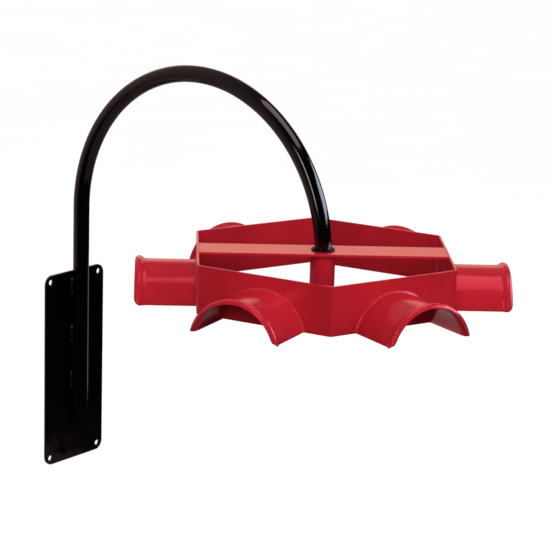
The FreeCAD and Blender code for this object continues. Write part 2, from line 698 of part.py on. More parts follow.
def main():
    pieces = [wall_plate(), arm_tube(), tube_end_cap(), plate_weld_beads(), spindle_plug(),
              retaining_washer(), lock_washer(), hanger_bolt(), hex_band(), band_seam_weld(), crossbar(),
              crossbar_welds(), hub_sleeve(), hub_weld(), upper_bush(), lower_bush(), thrust_washer()]
    for step in range(SADDLES):
        pieces.append(saddle(step))
        pieces.append(saddle_weld(step))
    doc.recompute()
    check(pieces)
    os.makedirs("parts", exist_ok=True)
    for piece in pieces:
        piece.Shape.exportStep("parts/%s.step" % piece.Label)
        box = piece.Shape.BoundBox
        print("%-18s %d solid(s) %10.0f mm3  x %.1f..%.1f  y %.1f..%.1f  z %.1f..%.1f" % (
            piece.Label, len(piece.Shape.Solids), piece.Shape.Volume,
            box.XMin, box.XMax, box.YMin, box.YMax, box.ZMin, box.ZMax))


main()
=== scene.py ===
"""Looks of a wall-mounted revolving hanger for tyre tubes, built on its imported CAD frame.

Metres, +Z up, in the frame's own axes: the wall is the plane X = 0 and the arch lies in the XZ plane.
Every CAD node is replaced by a piece of the same size with rounded edges, rippled welds and its own finish.
"""
import json
import math

import bmesh
import bpy
from mathutils import Matrix, Vector
from mathutils.geometry import tessellate_polygon

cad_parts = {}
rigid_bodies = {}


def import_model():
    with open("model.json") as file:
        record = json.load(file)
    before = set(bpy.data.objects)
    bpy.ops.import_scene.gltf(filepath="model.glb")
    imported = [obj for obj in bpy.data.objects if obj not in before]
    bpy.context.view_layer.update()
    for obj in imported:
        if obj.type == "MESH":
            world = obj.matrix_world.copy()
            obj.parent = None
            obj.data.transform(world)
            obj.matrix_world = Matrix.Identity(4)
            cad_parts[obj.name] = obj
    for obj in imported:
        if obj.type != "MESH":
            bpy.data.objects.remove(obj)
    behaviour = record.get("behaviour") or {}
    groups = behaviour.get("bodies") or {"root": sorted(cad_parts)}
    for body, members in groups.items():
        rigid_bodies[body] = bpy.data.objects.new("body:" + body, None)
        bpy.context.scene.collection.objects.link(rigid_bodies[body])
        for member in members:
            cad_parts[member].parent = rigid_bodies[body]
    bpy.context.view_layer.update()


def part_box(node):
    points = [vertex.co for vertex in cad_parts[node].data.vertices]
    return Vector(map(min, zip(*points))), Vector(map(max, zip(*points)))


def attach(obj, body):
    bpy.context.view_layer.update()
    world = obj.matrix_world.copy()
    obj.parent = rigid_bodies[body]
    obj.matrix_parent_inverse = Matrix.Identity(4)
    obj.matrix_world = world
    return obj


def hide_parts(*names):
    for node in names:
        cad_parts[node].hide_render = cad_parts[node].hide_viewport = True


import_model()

MM = 0.001

# ---------------------------------------------------------------- dimensions

# Places and outside sizes come from the frame's boxes.
PLATE_LOW, PLATE_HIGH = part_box("wall_plate")
TUBE_LOW, TUBE_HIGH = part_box("arm_tube")
CAP_LOW, CAP_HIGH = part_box("tube_end_cap")
BAND_LOW, BAND_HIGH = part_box("hex_band")
SLEEVE_LOW, SLEEVE_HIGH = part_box("hub_sleeve")
UPPER_LOW, UPPER_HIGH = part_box("upper_bush")
LOWER_LOW, LOWER_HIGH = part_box("lower_bush")
THRUST_LOW, THRUST_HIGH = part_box("thrust_washer")
PLUG_LOW, PLUG_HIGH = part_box("spindle_plug")
KEEPER_LOW, KEEPER_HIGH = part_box("retaining_washer")
LOCK_LOW, LOCK_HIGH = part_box("lock_washer")
BOLT_LOW, BOLT_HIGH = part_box("hanger_bolt")
BEAD_LOW, BEAD_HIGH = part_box("plate_weld_beads")
SEAM_LOW, SEAM_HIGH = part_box("band_seam_weld")

LEG_X = (CAP_LOW.x + CAP_HIGH.x) / 2
HUB_X = (SLEEVE_LOW.x + SLEEVE_HIGH.x) / 2
BAR_TOP = BAND_HIGH.z
PIPE_RADIUS = (CAP_HIGH.y - CAP_LOW.y) / 2
SLEEVE_RADIUS = (SLEEVE_HIGH.y - SLEEVE_LOW.y) / 2

# Sizes that the boxes don't give.
PLATE_CORNER = 20 * MM
PLATE_HOLE_RADIUS = 6 * MM
PLATE_HOLE_INSET = 15 * MM
PIPE_WALL = 3.2 * MM
END_RADIUS = 120 * MM
END_TURN = math.radians(7)
SPRING_LINE = 350 * MM
BEND_RADIUS = TUBE_HIGH.z - SPRING_LINE - PIPE_RADIUS
CAP_SPIGOT_RADIUS = 13.6 * MM
STITCH_LENGTH = 40 * MM
STITCH_LEG = 7 * MM
STITCHES = 3
REST_TURN = math.radians(41)
BAND_HALF = 243 * MM
BAND_THICK = 4 * MM
BAND_BEND = 10 * MM
BAR_WIDTH = 75 * MM
BAR_THICK = 5 * MM
SLEEVE_BORE = 20.95 * MM
WELD_LEG = 4 * MM
SADDLE_WELD_LEG = 3 * MM
SEAM_WIDTH = 6 * MM
BUSH_BORE = 16.93 * MM
BUSH_SPIGOT_RADIUS = 20.9 * MM
THRUST_BORE = 17.25 * MM
PLUG_BORE = 8 * MM
KEEPER_BORE = 8.5 * MM
BOLT_RADIUS = 7.9 * MM
BOLT_HALF_FLATS = 12 * MM
BOLT_HEAD = 10 * MM
BOLT_FACE = 0.4 * MM
THREAD_PITCH = 2 * MM
THREAD_DEPTH = 1 * MM
LOCK_SLIT = 2.5 * MM
SADDLES = 6
SADDLE_RADIUS = 87 * MM
SADDLE_FOOT = 19 * MM
SADDLE_LENGTH = 118 * MM
SADDLE_THICK = 2.5 * MM
LIP_ROUND = 8 * MM
LIP_COVE = 16 * MM
LIP_RISE = 5.5 * MM
FOOT_ROUND = 14 * MM

# Radius of each piece's rounded edges.
PLATE_EDGE = 0.5 * MM
PIPE_EDGE = 0.4 * MM
CAP_EDGE = 0.3 * MM
BOLT_EDGE = 0.25 * MM
WASHER_EDGE = 0.4 * MM
KEEPER_EDGE = 0.6 * MM
BUSH_EDGE = 0.6 * MM
SLEEVE_EDGE = 0.5 * MM
BAND_EDGE = 0.7 * MM
BAR_EDGE = 0.8 * MM
SADDLE_EDGE = 0.6 * MM
SHARP_ANGLE = math.radians(32)

# How far the welds bulge, how they taper at their ends, and their ripples.
STITCH_BULGE = 0.9 * MM
FILLET_BULGE = 0.5 * MM
SADDLE_WELD_BULGE = 0.2 * MM
SEAM_HEIGHT = 0.4 * MM
SEAM_BULGE = 0.8 * MM
WELD_TAPER = 4 * MM
STITCH_TAPER = 10 * MM
WELD_TIP = 0.35
RIPPLE_PITCH = 2.2 * MM
RIPPLE_DEPTH = 0.3 * MM
RIPPLE_LEVEL = 0.6
RIPPLE_BOW = 0.55

# How finely round shapes are divided.
PIPE_SIDES = 64
RING_SIDES = 96
BOLT_SIDES = 72
HOLE_SIDES = 40
ARCH_STEPS = 170
ARCH_END_STEPS = 10
PLATE_CORNER_STEPS = 16
BAND_BEND_STEPS = 8
EDGE_STEPS = 3
BEAD_STEPS = 7
RIPPLE_STEPS = 6
SADDLE_COLUMNS = 72
SADDLE_STEPS = 12
COVE_STEPS = 8
LIP_STEPS = 18

# ---------------------------------------------------------------- materials


def add_node(tree, kind, settings=None, **sockets):
    """A new shader node. Each keyword is a socket, given by its name or as an underscore and its number. Its
    value is a number, a colour, or another node's output."""
    node = tree.nodes.new(kind)
    for name, value in (settings or {}).items():
        setattr(node, name, value)
    for name, value in sockets.items():
        socket = node.inputs[int(name[1:])] if name[0] == "_" else node.inputs[name]
        if isinstance(value, bpy.types.NodeSocket):
            tree.links.new(value, socket)
        else:
            socket.default_value = value
    return node


def noise(tree, place, scale, detail, rough=0.5):
    """A noise value of about 0.5 over the piece; a larger scale is finer."""
    node = add_node(tree, "ShaderNodeTexNoise", Scale=scale, Detail=detail, Roughness=rough, Vector=place)
    return node.outputs["Fac"]


def add(tree, first, second):
    return add_node(tree, "ShaderNodeMath", {"operation": "ADD"}, _0=first, _1=second).outputs[0]


def multiply(tree, first, second):
    return add_node(tree, "ShaderNodeMath", {"operation": "MULTIPLY"}, _0=first, _1=second).outputs[0]


def remap(tree, value, low, high, new_low, new_high):
    node = add_node(tree, "ShaderNodeMapRange", _0=value, _1=low, _2=high, _3=new_low, _4=new_high)
    return node.outputs[0]


def spread(tree, tone, new_low, new_high):
    """A noise's usual range, 0.3 to 0.7, spread over a new one."""
    return remap(tree, tone, 0.3, 0.7, new_low, new_high)


def mix_colour(tree, amount, first, second):
    """The first colour where the amount is 0, and the second where it is 1."""
    node = add_node(tree, "ShaderNodeMix", {"data_type": "RGBA"}, _0=amount, _6=first, _7=second)
    return node.outputs[2]


def bump(tree, height, distance, base=None):
    """The normal of a surface that is raised by height times distance, on top of a base normal."""
    node = add_node(tree, "ShaderNodeBump", Strength=1.0, Distance=distance, Height=height)
    if base is not None:
        tree.links.new(base, node.inputs["Normal"])
    return node.outputs["Normal"]


def edge_mask(tree, width, low, high):
    """1 on edges and corners that are tighter than the width, 0 on flat surfaces."""
    rounded = add_node(tree, "ShaderNodeBevel", {"samples": 4}, Radius=width).outputs["Normal"]
    plain = add_node(tree, "ShaderNodeNewGeometry").outputs["Normal"]
    dot = add_node(tree, "ShaderNodeVectorMath", {"operation": "DOT_PRODUCT"}, _0=rounded, _1=plain)
    apart = add_node(tree, "ShaderNodeMath", {"operation": "SUBTRACT"}, _0=1.0, _1=dot.outputs["Value"])
    return remap(tree, apart.outputs[0], low, high, 0.0, 1.0)


def new_material(name):
    """An empty material: its tree, its principled shader and the piece's own coordinates."""
    material = bpy.data.materials.new(name)
    material.use_nodes = True
    tree = material.node_tree
    shader = tree.nodes["Principled BSDF"]
    place = add_node(tree, "ShaderNodeTexCoord").outputs["Object"]
    return material, tree, shader, place


def paint(name, deep, bright, edge_sheen_and_dust, rough, peel, thin_coat_and_sheen, specular=0.5, tint=(1, 1, 1, 1)):
    """Gloss enamel: faint tone changes, orange peel, sheet waviness, dust nibs, and paler edges that stand
    for thin coats and are partly a painted edge highlight. Its roughness varies over a range, peel is the
    orange peel's depth, and the amount after peel is how far the edges are painted paler."""
    material, tree, shader, place = new_material(name)
    broad = multiply(tree, noise(tree, place, scale=6.0, detail=3.0), 0.75)
    fine = multiply(tree, noise(tree, place, scale=240.0, detail=3.0), 0.25)
    colour = mix_colour(tree, spread(tree, add(tree, broad, fine), 0.0, 1.0), deep, bright)

    # Paler edges in patches: thin paint there, and partly a painted highlight along the edges. The same
    # patches roughen the edges.
    patches = noise(tree, place, scale=95.0, detail=4.0, rough=0.65)
    edge_patches = remap(tree, patches, 0.42, 0.66, 0.15, 1.0)
    edges = multiply(tree, edge_mask(tree, 1.6 * MM, 0.015, 0.2), edge_patches)
    colour = mix_colour(tree, multiply(tree, edges, thin_coat_and_sheen), colour, edge_sheen_and_dust)

    nib_distance = add_node(tree, "ShaderNodeTexVoronoi", Scale=42.0, Vector=place).outputs["Distance"]
    nibs = remap(tree, nib_distance, 0.0, 0.055, 1.0, 0.0)
    colour = mix_colour(tree, multiply(tree, nibs, 0.35), colour, edge_sheen_and_dust)
    tree.links.new(colour, shader.inputs["Base Color"])

    gloss = spread(tree, noise(tree, place, scale=18.0, detail=4.0, rough=0.6), *rough)
    gloss = add(tree, gloss, multiply(tree, edges, 0.12))
    tree.links.new(gloss, shader.inputs["Roughness"])

    waves = bump(tree, noise(tree, place, scale=22.0, detail=1.0), 0.5 * MM)
    skin = bump(tree, noise(tree, place, scale=330.0, detail=2.0), peel, waves)
    tree.links.new(bump(tree, nibs, 0.12 * MM, skin), shader.inputs["Normal"])
    shader.inputs["IOR"].default_value = 1.5
    shader.inputs["Specular IOR Level"].default_value = specular
    shader.inputs["Specular Tint"].default_value = tint
    return material


def zinc(name):
    """Zinc plate: cloudy passivation, fine scratches and slightly polished edges."""
    material, tree, shader, place = new_material(name)
    bluish = (0.50, 0.52, 0.56, 1)
    yellowish = (0.66, 0.64, 0.60, 1)
    polished = (0.78, 0.79, 0.80, 1)
    cloud = noise(tree, place, scale=55.0, detail=4.0, rough=0.6)
    colour = mix_colour(tree, spread(tree, cloud, 0.0, 1.0), bluish, yellowish)
    colour = mix_colour(tree, edge_mask(tree, 0.8 * MM, 0.02, 0.25), colour, polished)
    tree.links.new(colour, shader.inputs["Base Color"])
    stretched = add_node(tree, "ShaderNodeMapping", Vector=place, Scale=(1.0, 1.0, 14.0)).outputs["Vector"]
    scratch = noise(tree, stretched, scale=420.0, detail=3.0, rough=0.7)
    tree.links.new(remap(tree, scratch, 0.25, 0.75, 0.22, 0.42), shader.inputs["Roughness"])
    tree.links.new(bump(tree, scratch, 0.03 * MM), shader.inputs["Normal"])
    shader.inputs["Metallic"].default_value = 1.0
    return material


def plastic(name):
    """Black polymer with a fine moulded grain and paler rubbed edges."""
    material, tree, shader, place = new_material(name)
    dark = (0.001, 0.001, 0.001, 1)
    less_dark = (0.003, 0.003, 0.003, 1)
    rubbed = (0.015, 0.015, 0.015, 1)
    cloud = noise(tree, place, scale=70.0, detail=3.0)
    colour = mix_colour(tree, spread(tree, cloud, 0.0, 1.0), dark, less_dark)
    edges = multiply(tree, edge_mask(tree, 0.8 * MM, 0.02, 0.25), 0.5)
    colour = mix_colour(tree, edges, colour, rubbed)
    tree.links.new(colour, shader.inputs["Base Color"])
    grain = noise(tree, place, scale=1500.0, detail=2.0)
    tree.links.new(spread(tree, grain, 0.38, 0.55), shader.inputs["Roughness"])
    tree.links.new(bump(tree, grain, 0.04 * MM), shader.inputs["Normal"])
    shader.inputs["Specular IOR Level"].default_value = 0.1
    return material


# Each paint's pale edge colour is partly a painted edge highlight. The same colour is used for the paint's
# dust nibs.
MATERIALS = {
    "red_paint": paint("red_enamel", deep=(0.54, 0.0165, 0.0310, 1),
                       bright=(0.63, 0.0215, 0.0400, 1), edge_sheen_and_dust=(0.85, 0.26, 0.22, 1),
                       rough=(0.10, 0.20), peel=0.035 * MM, thin_coat_and_sheen=0.35,
                       specular=0.75, tint=(1.0, 0.12, 0.17, 1)),
    "black_paint": paint("black_enamel", deep=(0.0006, 0.0005, 0.0005, 1),
                         bright=(0.0014, 0.0011, 0.0011, 1), edge_sheen_and_dust=(0.05, 0.045, 0.045, 1),
                         rough=(0.07, 0.15), peel=0.02 * MM, thin_coat_and_sheen=0.12),
    "zinc_steel": zinc("zinc_plate"),
    "black_plastic": plastic("black_polymer"),
}

# ---------------------------------------------------------------- mesh building


def grid_faces(rows, columns, close_rows=False, close_columns=False, first=0):
    """Quads between the points of a grid that is stored row by row from the point numbered first. With
    close_rows the last row is joined to the first one, and with close_columns the last column is."""
    faces = []
    for row in range(rows if close_rows else rows - 1):
        for column in range(columns if close_columns else columns - 1):
            after = (column + 1) % columns
            below = (row + 1) % rows
            faces.append((first + row * columns + column, first + row * columns + after,
                          first + below * columns + after, first + below * columns + column))
    return faces


def add_piece(node, body, slot, points, faces, place=None, edge_round=0.0, plain=0):
    """One finished piece that stands for a CAD node and moves with its body. The first faces, as many as
    plain says, are shaded flat."""
    place = place or Matrix.Identity(4)
    mesh = bpy.data.meshes.new(node + "_finished")
    mesh.from_pydata([place @ Vector(point) for point in points], [], faces)
    work = bmesh.new()
    work.from_mesh(mesh)
    bmesh.ops.recalc_face_normals(work, faces=work.faces)
    work.to_mesh(mesh)
    work.free()
    mesh.shade_smooth()
    mesh.set_sharp_from_angle(angle=SHARP_ANGLE)
    for polygon in mesh.polygons[:plain]:
        polygon.use_smooth = False
    mesh.materials.append(MATERIALS[slot])
    piece = bpy.data.objects.new(node + "_finished", mesh)
    bpy.context.scene.collection.objects.link(piece)
    if edge_round:
        bevel = piece.modifiers.new("edge_round", "BEVEL")
        bevel.width = edge_round
        bevel.segments = EDGE_STEPS
        bevel.limit_method = "ANGLE"
        bevel.angle_limit = SHARP_ANGLE
        bevel.harden_normals = True
    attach(piece, body)
    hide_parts(node)


def at_hub(turn=0.0):
    """Places a piece drawn about the hub axis, with its zero height at the crossbar's top face."""
    return Matrix.Translation((HUB_X, 0, BAR_TOP)) @ Matrix.Rotation(turn, 4, "Z")


def at_flat(step):
    """Places a piece drawn about a saddle's arc axis, with X outwards from the band's face."""
    turn = REST_TURN + step * math.tau / SADDLES
    drop = BAND_LOW.z - BAR_TOP - SADDLE_FOOT
    return at_hub(turn) @ Matrix.Translation((BAND_HALF, 0, drop))


def below_bar(height):
    """A height of the frame, measured from the crossbar's top face."""
    return height - BAR_TOP


def arc(centre, radius, start, end, steps):
    """Points of an arc, ends included, in a plane."""
    points = []
    for step in range(steps + 1):
        angle = start + (end - start) * step / steps
        points.append((centre[0] + radius * math.cos(angle), centre[1] + radius * math.sin(angle)))
    return points


def around(profile, angle):
    """A profile's (radius, height) points at an angle about the Z axis."""
    return [(radius * math.cos(angle), radius * math.sin(angle), height) for radius, height in profile]


def turned(node, body, slot, profile, edge_round):
    """A closed profile of (radius, height) points turned about the hub axis into a ring."""
    points = []
    for side in range(RING_SIDES):
        points += around(profile, math.tau * side / RING_SIDES)
    faces = grid_faces(RING_SIDES, len(profile), True, True)
    add_piece(node, body, slot, points, faces, at_hub(), edge_round)


def ring_profile(inner, outer, low, high):
    """The section of a plain ring between two heights of the frame."""
    low, high = below_bar(low), below_bar(high)
    return [(inner, low), (outer, low), (outer, high), (inner, high)]


def inset(loop, depth):
    """A closed loop of flat points, moved to its left by a depth."""
    moved = []
    for before, here, after in zip(loop[-1:] + loop[:-1], loop, loop[1:] + loop[:1]):
        arriving = (Vector(here) - Vector(before)).normalized()
        leaving = (Vector(after) - Vector(here)).normalized()
        left = Vector((-arriving.y - leaving.y, arriving.x + leaving.x))
        moved.append(Vector(here) + left * depth / (1 + arriving.dot(leaving)))
    return moved


def plate_with_holes(node, body, slot, loops, thick, to_space, place, edge_round):
    """A flat plate with rounded edges. The loops are its outline and holes, with the metal on their left.
    to_space(a, b, height) puts a flat point at a height above the plate's near face."""
    rims = []
    for step in range(EDGE_STEPS + 1):
        angle = math.pi / 2 * step / EDGE_STEPS
        rims.append((edge_round * (1 - math.sin(angle)), edge_round * (1 - math.cos(angle))))
    rims += [(depth, thick - height) for depth, height in reversed(rims)]
    points, near, far, sides = [], [], [], []
    for loop in loops:
        first = len(points)
        for depth, height in rims:
            points += [to_space(a, b, height) for a, b in inset(loop, depth)]
        sides += grid_faces(len(rims), len(loop), False, True, first)
        near += range(first, first + len(loop))
        far += range(len(points) - len(loop), len(points))
    flat = [[Vector((a, b, 0)) for a, b in inset(loop, edge_round)] for loop in loops]
    triangles = tessellate_polygon(flat)
    faces = [tuple(near[corner] for corner in triangle) for triangle in triangles]
    faces += [tuple(far[corner] for corner in reversed(triangle)) for triangle in triangles]
    add_piece(node, body, slot, points, faces + sides, place, plain=len(faces))


def bead_section(toe_a, toe_b, bulge):
    """The visible face of a weld from one toe to the other, as (point, share of the ripple) pairs."""
    section = []
    for step in range(BEAD_STEPS + 1):
        share = step / BEAD_STEPS
        swell = 4 * share * (1 - share)
        point = Vector(toe_a).lerp(Vector(toe_b), share)
        section.append((point + point.normalized() * bulge * swell, swell))
    return section


def bead_rows(length, frame_at, section, roots, closed=False, taper=WELD_TAPER):
    """Rows of points of a rippled weld. frame_at(along) gives the function that puts the section's flat
    points in space at that distance along the weld, and roots are the section's hidden points. A weld that
    isn't closed gets thinner over the taper at both its ends."""
    count = round(length / RIPPLE_PITCH) * RIPPLE_STEPS
    points = []
    for row in range(count if closed else count + 1):
        along = length * row / count
        to_space = frame_at(along)
        from_end = 1.0 if closed else min(1.0, along / taper, (length - along) / taper)
        scale = WELD_TIP + (1 - WELD_TIP) * math.sqrt(from_end * (2 - from_end))
        for flat, swell in section:
            phase = along / RIPPLE_PITCH - RIPPLE_BOW * swell
            ripple = RIPPLE_DEPTH * swell * (abs(math.sin(math.pi * phase)) - RIPPLE_LEVEL)
            outward = flat.normalized()
            points.append(to_space(flat * scale + outward * ripple))
        for root in roots:
            points.append(to_space(Vector(root) * scale))
    return points


def fillet(length, frame_at, leg, bulge, closed=False):
    """One run of a fillet weld between two faces that meet at a right angle."""
    section = bead_section((leg, 0), (0, leg), bulge)
    return bead_rows(length, frame_at, section, [(0, 0)], closed), len(section) + 1, closed


def weld(node, body, slot, runs, place=None):
    """A piece made of one or more weld runs, each (points, columns, closed)."""
    points, faces = [], []
    for run, columns, closed in runs:
        rows = len(run) // columns
        first = len(points)
        points += run
        faces += grid_faces(rows, columns, closed, True, first)
        if not closed:
            last = first + (rows - 1) * columns
            faces.append(tuple(first + column for column in range(columns)))
            faces.append(tuple(last + column for column in reversed(range(columns))))
    add_piece(node, body, slot, points, faces, place)


# ---------------------------------------------------------------- the fixed arm


def wall_plate():
    """The flat plate with its rounded corners and four bolt holes."""
    half_width = PLATE_HIGH.y
    half_height = PLATE_HIGH.z
    outline = []
    quarter = math.pi / 2
    for turns, (side, end) in enumerate(((1, 1), (-1, 1), (-1, -1), (1, -1))):
        centre = (side * (half_width - PLATE_CORNER), end * (half_height - PLATE_CORNER))
        outline += arc(centre, PLATE_CORNER, turns * quarter, (turns + 1) * quarter, PLATE_CORNER_STEPS)
    loops = [outline]
    for side in (-1, 1):
        for end in (-1, 1):
            centre = (side * (half_width - PLATE_HOLE_INSET), end * (half_height - PLATE_HOLE_INSET))
            loops.append(arc(centre, PLATE_HOLE_RADIUS, 0, -math.tau, HOLE_SIDES)[:-1])

    def to_space(across, up, height):
        return PLATE_LOW.x + height, across, up

    thick = PLATE_HIGH.x - PLATE_LOW.x
    plate_with_holes("wall_plate", "arm", "black_paint", loops, thick, to_space, None, PLATE_EDGE)


def arch_line():
    """The pipe's centre line as (x, z, heading) stations from the wall leg's foot to the hub end."""
    quarter = math.pi / 2

    def bend(centre, radius, start, end, steps):
        line = arc(centre, radius, start, end, steps)
        return [(x, z, start + (end - start) * step / steps - quarter) for step, (x, z) in enumerate(line)]

    main_centre = (LEG_X + BEND_RADIUS, SPRING_LINE)
    end_centre = (HUB_X - END_RADIUS, SPRING_LINE + (BEND_RADIUS - END_RADIUS) * math.sin(END_TURN))
    stations = [(LEG_X, TUBE_LOW.z, quarter)]
    stations += bend(main_centre, BEND_RADIUS, math.pi, END_TURN, ARCH_STEPS)
    stations += bend(end_centre, END_RADIUS, END_TURN, 0, ARCH_END_STEPS)[1:]
    stations.append((HUB_X, PLUG_LOW.z, -quarter))
    return stations


def arm_tube():
    """The bent pipe with its bore, open at both ends."""
    stations = arch_line()
    points = []
    for radius in (PIPE_RADIUS, PIPE_RADIUS - PIPE_WALL):
        for x, z, heading in stations:
            for side in range(PIPE_SIDES):
                angle = math.tau * side / PIPE_SIDES
                lift = radius * math.cos(angle)
                points.append((x - lift * math.sin(heading), radius * math.sin(angle),
                               z + lift * math.cos(heading)))
    rows = len(stations)
    bore = rows * PIPE_SIDES
    faces = grid_faces(rows, PIPE_SIDES, False, True) + grid_faces(rows, PIPE_SIDES, False, True, bore)
    for row in (0, rows - 1):
        for side in range(PIPE_SIDES):
            here = row * PIPE_SIDES + side
            beside = row * PIPE_SIDES + (side + 1) % PIPE_SIDES
            faces.append((here, beside, beside + bore, here + bore))
    add_piece("arm_tube", "arm", "black_paint", points, faces, None, PIPE_EDGE)


def tube_end_cap():
    """Push-in cap: a shallow dome under the leg and a ribbed spigot inside it."""
    dome = ((0, 1), (0.6, 0.93), (0.88, 0.75), (0.97, 0.45), (1, 0))
    flange = TUBE_LOW.z - CAP_LOW.z
    spigot = CAP_HIGH.z - TUBE_LOW.z
    ribs = 4
    rib_pitch = spigot / ribs
    groove = 0.5 * MM
    tip_inset = 1.5 * MM
    profile = [(PIPE_RADIUS * out, -flange * down) for out, down in dome] + [(CAP_SPIGOT_RADIUS, 0)]
    for rib in range(ribs):
        profile.append((CAP_SPIGOT_RADIUS - groove, rib_pitch * (rib + 0.3)))
        profile.append((CAP_SPIGOT_RADIUS, rib_pitch * (rib + 0.65)))
    profile += [(CAP_SPIGOT_RADIUS - tip_inset, spigot), (0, spigot)]
    points = [(0, 0, profile[0][1]), (0, 0, profile[-1][1])]
    rings = profile[1:-1]
    for radius, height in rings:
        points += [(x, y, height) for x, y in arc((0, 0), radius, 0, math.tau, PIPE_SIDES)[:-1]]
    faces = grid_faces(len(rings), PIPE_SIDES, False, True, 2)
    last = 2 + (len(rings) - 1) * PIPE_SIDES
    for side in range(PIPE_SIDES):
        after = (side + 1) % PIPE_SIDES
        faces.append((0, 2 + after, 2 + side))
        faces.append((1, last + side, last + after))
    place = Matrix.Translation((LEG_X, 0, TUBE_LOW.z))
    add_piece("tube_end_cap", "arm", "black_plastic", points, faces, place, CAP_EDGE)


def plate_weld_beads():
    """Stitch welds in the two grooves between the wall leg and the plate."""
    front = PLATE_HIGH.x
    root_angle = math.radians(30)
    toe_angle = math.acos((PIPE_RADIUS - STITCH_LEG) / PIPE_RADIUS)
    root_across = PIPE_RADIUS * math.sin(root_angle)
    pitch = (BEAD_HIGH.z - BEAD_LOW.z - STITCH_LENGTH) / (STITCHES - 1)
    spread_out = PIPE_RADIUS * math.sin(toe_angle) - root_across
    section = bead_section((STITCH_LEG, spread_out), (0, spread_out + STITCH_LEG / 2), STITCH_BULGE)
    roots = [(0, 0)]
    for share in (0.0, 0.33, 0.66):
        angle = root_angle + (toe_angle - root_angle) * share
        roots.append((PIPE_RADIUS * (1 - math.cos(angle)), PIPE_RADIUS * math.sin(angle) - root_across))
    runs = []
    for side in (-1, 1):
        for stitch in range(STITCHES):
            foot = BEAD_LOW.z + pitch * stitch

            def frame_at(along, side=side, foot=foot):
                return lambda flat: (front + flat[0], side * (root_across + flat[1]), foot + along)

            points = bead_rows(STITCH_LENGTH, frame_at, section, roots, taper=STITCH_TAPER)
            runs.append((points, len(section) + len(roots), False))
    weld("plate_weld_beads", "arm", "black_paint", runs)


def spindle_plug():
    profile = ring_profile(PLUG_BORE, CAP_SPIGOT_RADIUS, PLUG_LOW.z, PLUG_HIGH.z)
    turned("spindle_plug", "arm", "zinc_steel", profile, WASHER_EDGE)


def retaining_washer():
    outer = (KEEPER_HIGH.y - KEEPER_LOW.y) / 2
    profile = ring_profile(KEEPER_BORE, outer, KEEPER_LOW.z, KEEPER_HIGH.z)
    turned("retaining_washer", "arm", "zinc_steel", profile, KEEPER_EDGE)


def lock_washer():
    """Split spring washer, open at its slit."""
    outer = LOCK_HIGH.y
    half_slit = math.asin(LOCK_SLIT / 2 / outer)
    profile = ring_profile(KEEPER_BORE, outer, LOCK_LOW.z, LOCK_HIGH.z)
    columns = len(profile)
    points = []
    for side in range(RING_SIDES + 1):
        points += around(profile, half_slit + (math.tau - 2 * half_slit) * side / RING_SIDES)
    faces = grid_faces(RING_SIDES + 1, columns, False, True)
    faces.append(tuple(range(columns)))
    faces.append(tuple(RING_SIDES * columns + column for column in reversed(range(columns))))
    add_piece("lock_washer", "arm", "zinc_steel", points, faces, at_hub(), WASHER_EDGE)


def hanger_bolt():
    """Hexagon bolt: chamfered head, washer face and a threaded shank."""
    low = below_bar(BOLT_LOW.z)
    seat = low + BOLT_HEAD
    top = below_bar(BOLT_HIGH.z)
    round_face = BOLT_HALF_FLATS * 0.95
    slope = math.tan(math.radians(30))
    turns = int((top - seat) / THREAD_PITCH)
    points = []
    for side in range(BOLT_SIDES):
        angle = math.tau * side / BOLT_SIDES
        reach = BOLT_HALF_FLATS / math.cos((angle + math.pi / 6) % (math.pi / 3) - math.pi / 6)
        drop = (reach - round_face) * slope
        column = [(round_face / 2, low), (round_face, low), (reach, low + drop),
                  (reach, seat - BOLT_FACE - drop / 2), (round_face, seat - BOLT_FACE), (round_face, seat)]
        for turn in range(turns):
            column.append((BOLT_RADIUS - THREAD_DEPTH, seat + THREAD_PITCH * (turn + 0.1)))
            column.append((BOLT_RADIUS, seat + THREAD_PITCH * (turn + 0.55)))
        column += [(BOLT_RADIUS - 1.2 * THREAD_DEPTH, top), (BOLT_RADIUS * 0.4, top)]
        columns = len(column)
        points += around(column, angle)
    faces = grid_faces(BOLT_SIDES, columns, True, False)
    faces.append(tuple(side * columns for side in reversed(range(BOLT_SIDES))))
    faces.append(tuple(side * columns + columns - 1 for side in range(BOLT_SIDES)))
    add_piece("hanger_bolt", "arm", "zinc_steel", points, faces, at_hub(), BOLT_EDGE)


# ---------------------------------------------------------------- the carousel


def hexagon_loop(half_flats, bend):
    """A hexagon with rounded corners, one pair of flats square to the X axis."""
    points = []
    for corner in range(6):
        middle = math.radians(30 + 60 * corner)
        reach = (half_flats - bend) / math.cos(math.radians(30))
        centre = (reach * math.cos(middle), reach * math.sin(middle))
        points += arc(centre, bend, middle - math.radians(30), middle + math.radians(30), BAND_BEND_STEPS)
    return points


def hex_band():
    """The six-sided band of flat steel on edge."""
    outer = hexagon_loop(BAND_HALF, BAND_BEND)
    inner = hexagon_loop(BAND_HALF - BAND_THICK, BAND_BEND - BAND_THICK)
    low = below_bar(BAND_LOW.z)
    points = []
    for outside, inside in zip(outer, inner):
        points += [(*outside, low), (*outside, 0), (*inside, 0), (*inside, low)]
    faces = grid_faces(len(outer), 4, True, True)
    add_piece("hex_band", "carousel", "red_paint", points, faces, at_hub(REST_TURN), BAND_EDGE)


def band_seam_weld():
    """Low butt weld down the inside of one flat, under the crossbar."""
    inside = BAND_HALF - BAND_THICK
    top = below_bar(SEAM_HIGH.z)
    half = SEAM_WIDTH / 2
    section = bead_section((SEAM_HEIGHT, -half), (SEAM_HEIGHT, half), SEAM_BULGE)
    roots = [(0, half), (0, -half)]

    def frame_at(along):
        return lambda flat: (inside - flat[0], flat[1], top - along)

    points = bead_rows(SEAM_HIGH.z - SEAM_LOW.z, frame_at, section, roots)
    run = (points, len(section) + len(roots), False)
    weld("band_seam_weld", "carousel", "red_paint", [run], at_hub(REST_TURN))


